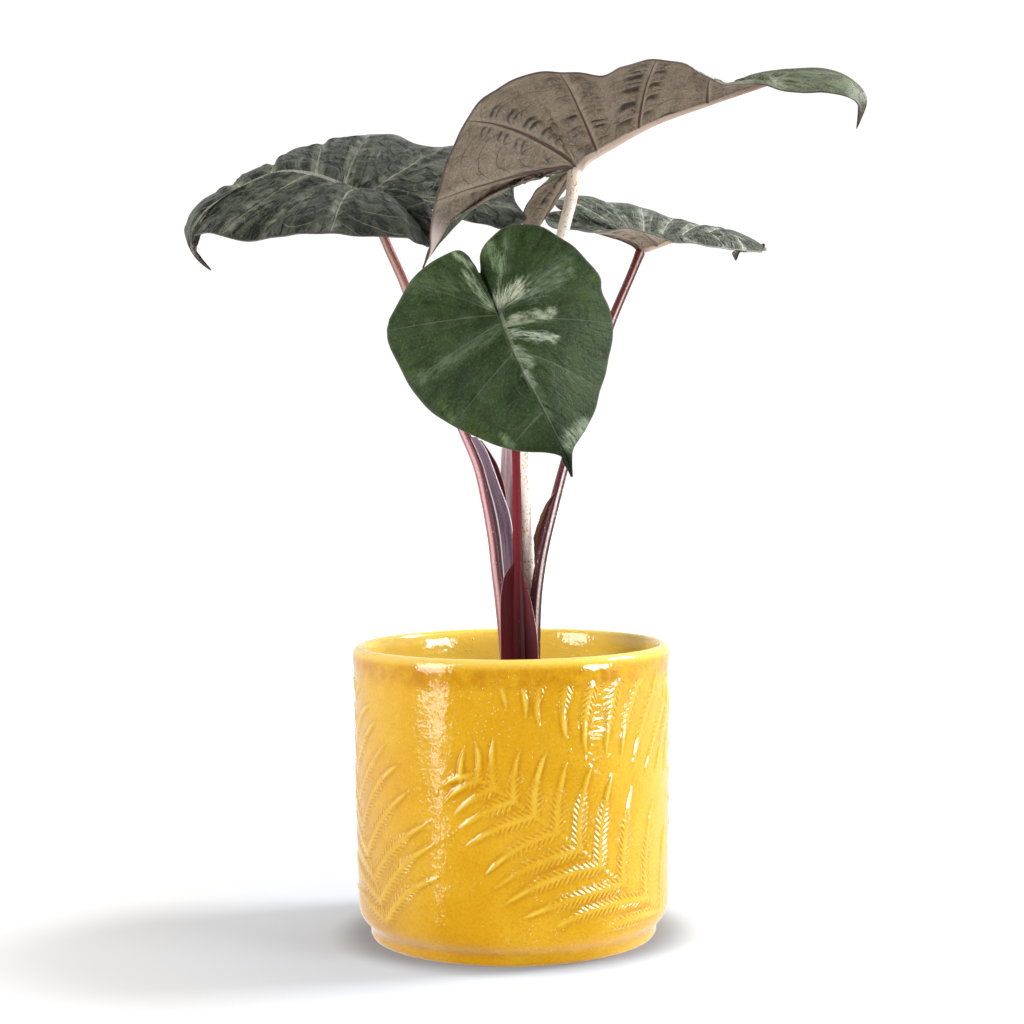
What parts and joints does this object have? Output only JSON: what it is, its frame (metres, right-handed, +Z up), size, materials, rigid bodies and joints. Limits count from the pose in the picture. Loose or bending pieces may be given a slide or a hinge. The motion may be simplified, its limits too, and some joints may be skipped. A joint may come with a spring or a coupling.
{
  "type": "potted yucatan princess alocasia",
  "caption": "Heart-leaved aroid house plant with sheathed stalks, rooted in a nursery pot inside a fern-embossed glazed cover pot.",
  "frame": {"origin": "middle of the cover pot's flat underside, on the surface that it stands on", "axes": "+Z up; the plant's front, where the hanging leaf is, faces -Y; +X to the right of that view"},
  "size_m": [0.2951, 0.1923, 0.383],
  "materials": {
    "glaze": "glossy amber-yellow glaze, pooled darker in the recesses",
    "nursery_plastic": "thin black moulded plastic",
    "soil": "crumbly dark potting soil with perlite",
    "rootstock": "pale brown tuber with roots",
    "stalk_pink": "smooth pink-red stalk with a dark sheath",
    "stalk_cream": "smooth cream stalk with orange flecks",
    "stalk_maroon": "smooth dark maroon stalk",
    "stalk_red_brown": "smooth red-brown stalk",
    "leaf_grey_green": "satin grey-green leaf, quilted between its veins",
    "leaf_brown": "satin brown-taupe underside with dark red veins",
    "leaf_glossy_green": "glossy dark green leaf"
  },
  "bodies": {
    "root": {"cover_pot": "glaze", "nursery_pot": "nursery_plastic", "soil": "soil", "rootstock": "rootstock", "stalk_left": "stalk_pink", "stalk_top": "stalk_cream", "stalk_front": "stalk_maroon", "stalk_right": "stalk_red_brown", "blade_left": "leaf_grey_green", "blade_top": "leaf_brown", "blade_front": "leaf_glossy_green", "blade_right": "leaf_grey_green"}
  },
  "joints": []
}
